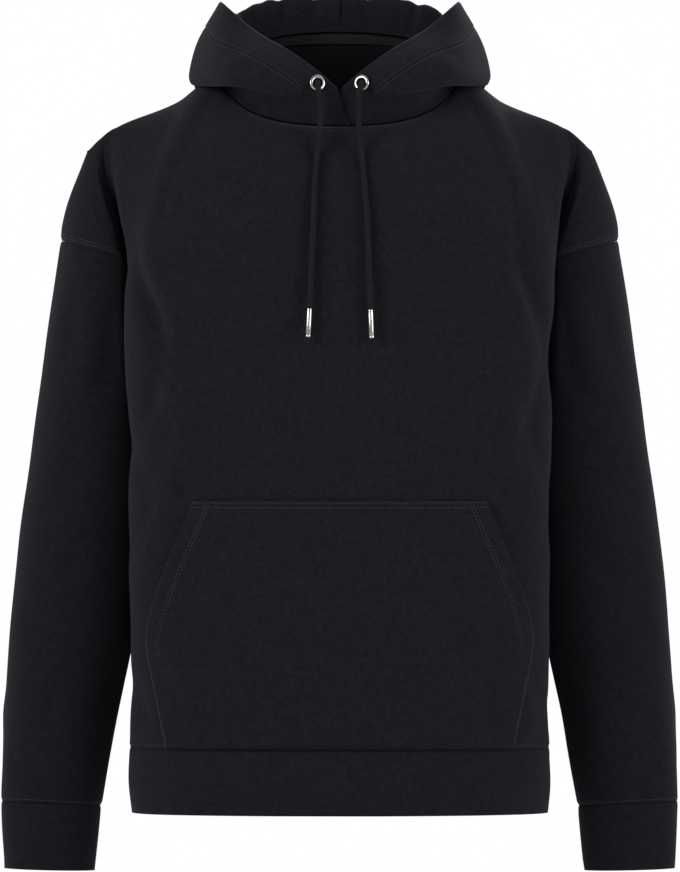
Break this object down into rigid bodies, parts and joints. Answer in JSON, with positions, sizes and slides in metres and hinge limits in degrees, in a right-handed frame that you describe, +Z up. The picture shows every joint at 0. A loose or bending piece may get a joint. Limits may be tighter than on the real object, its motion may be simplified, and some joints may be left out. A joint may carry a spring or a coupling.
{
  "type": "pullover hoodie",
  "caption": "Hooded fleece pullover standing hollow as worn, with dropped shoulders, kangaroo pocket, plain cuffs and hem, lowered hood and a drawcord with metal tips",
  "frame": {"origin": "middle of the neck base, level with the points where the shoulder seams meet the neck", "axes": "+X to the wearer's left, -Y is the front, +Z up"},
  "size_m": [0.6432, 0.3299, 0.8321],
  "materials": {
    "body_fleece": "near-black brushed heavy fleece, matte with a short soft pile",
    "sleeve_fleece": "the same fleece, a little darker where the nap lies the other way",
    "hood_fleece": "the same fleece, with a topstitched casing along the opening",
    "tape": "flat black cotton tape",
    "cord": "black round braided cord",
    "nickel": "bright nickel plate"
  },
  "bodies": {
    "root": {"front_panel": "body_fleece", "back_panel": "body_fleece", "kangaroo_pocket": "body_fleece", "hem_band": "body_fleece", "sleeve_left": "sleeve_fleece", "sleeve_right": "sleeve_fleece", "cuff_left": "sleeve_fleece", "cuff_right": "sleeve_fleece", "hood_left": "hood_fleece", "hood_right": "hood_fleece", "neck_tape": "tape", "eyelet_left": "nickel", "eyelet_right": "nickel", "drawcord_left": "cord", "drawcord_right": "cord", "cord_tip_left": "nickel", "cord_tip_right": "nickel"}
  },
  "joints": []
}
